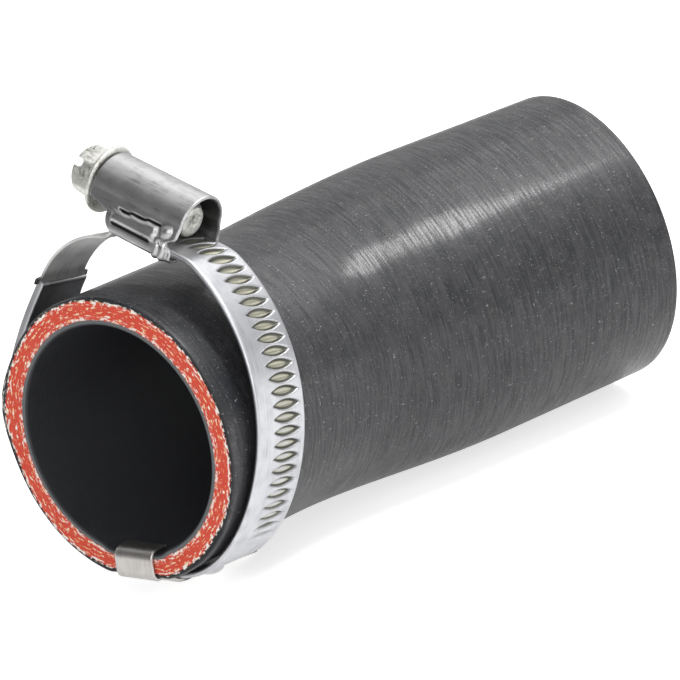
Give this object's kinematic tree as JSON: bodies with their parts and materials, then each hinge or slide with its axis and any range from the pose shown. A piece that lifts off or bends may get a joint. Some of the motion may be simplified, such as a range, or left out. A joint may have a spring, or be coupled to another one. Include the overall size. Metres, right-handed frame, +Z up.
{
  "type": "charge air hose",
  "caption": "Bent reinforced rubber coupling hose with a flared far end and a worm drive clamp riveted to a clip on its near end.",
  "frame": {"origin": "centre of the bounding box's base: the object lies on its clip's strap, the rivet's head and the hose's underside", "axes": "+Z up, +Y from the clamped near end towards the flared far end, +X to the right seen from the near end"},
  "size_m": [0.0646, 0.1052, 0.0647],
  "materials": {
    "rubber": "matt charcoal cover, red fabric ply and a grey liner at the cut ends",
    "band_steel": "bright stainless strip with a pressed thread",
    "spring_steel": "satin stainless spring strip",
    "housing_steel": "polished pressed stainless sheet",
    "screw_zinc": "zinc plated steel, slightly yellow",
    "clip_steel": "satin stainless strip",
    "rivet_steel": "bright steel"
  },
  "bodies": {
    "clamped_hose": {"hose": "rubber", "clamp_band": "band_steel", "spring_insert": "spring_steel", "screw_housing": "housing_steel", "retaining_clip": "clip_steel", "clip_rivet": "rivet_steel"},
    "screw": {"worm_screw": "screw_zinc"}
  },
  "joints": [
    {"name": "screw_turn", "type": "hinge", "parent": "clamped_hose", "child": "screw", "pos_m": [-0.01406, -0.03491, 0.05953], "axis": [0.9283, -0.0293, -0.3706], "continuous": true}
  ]
}
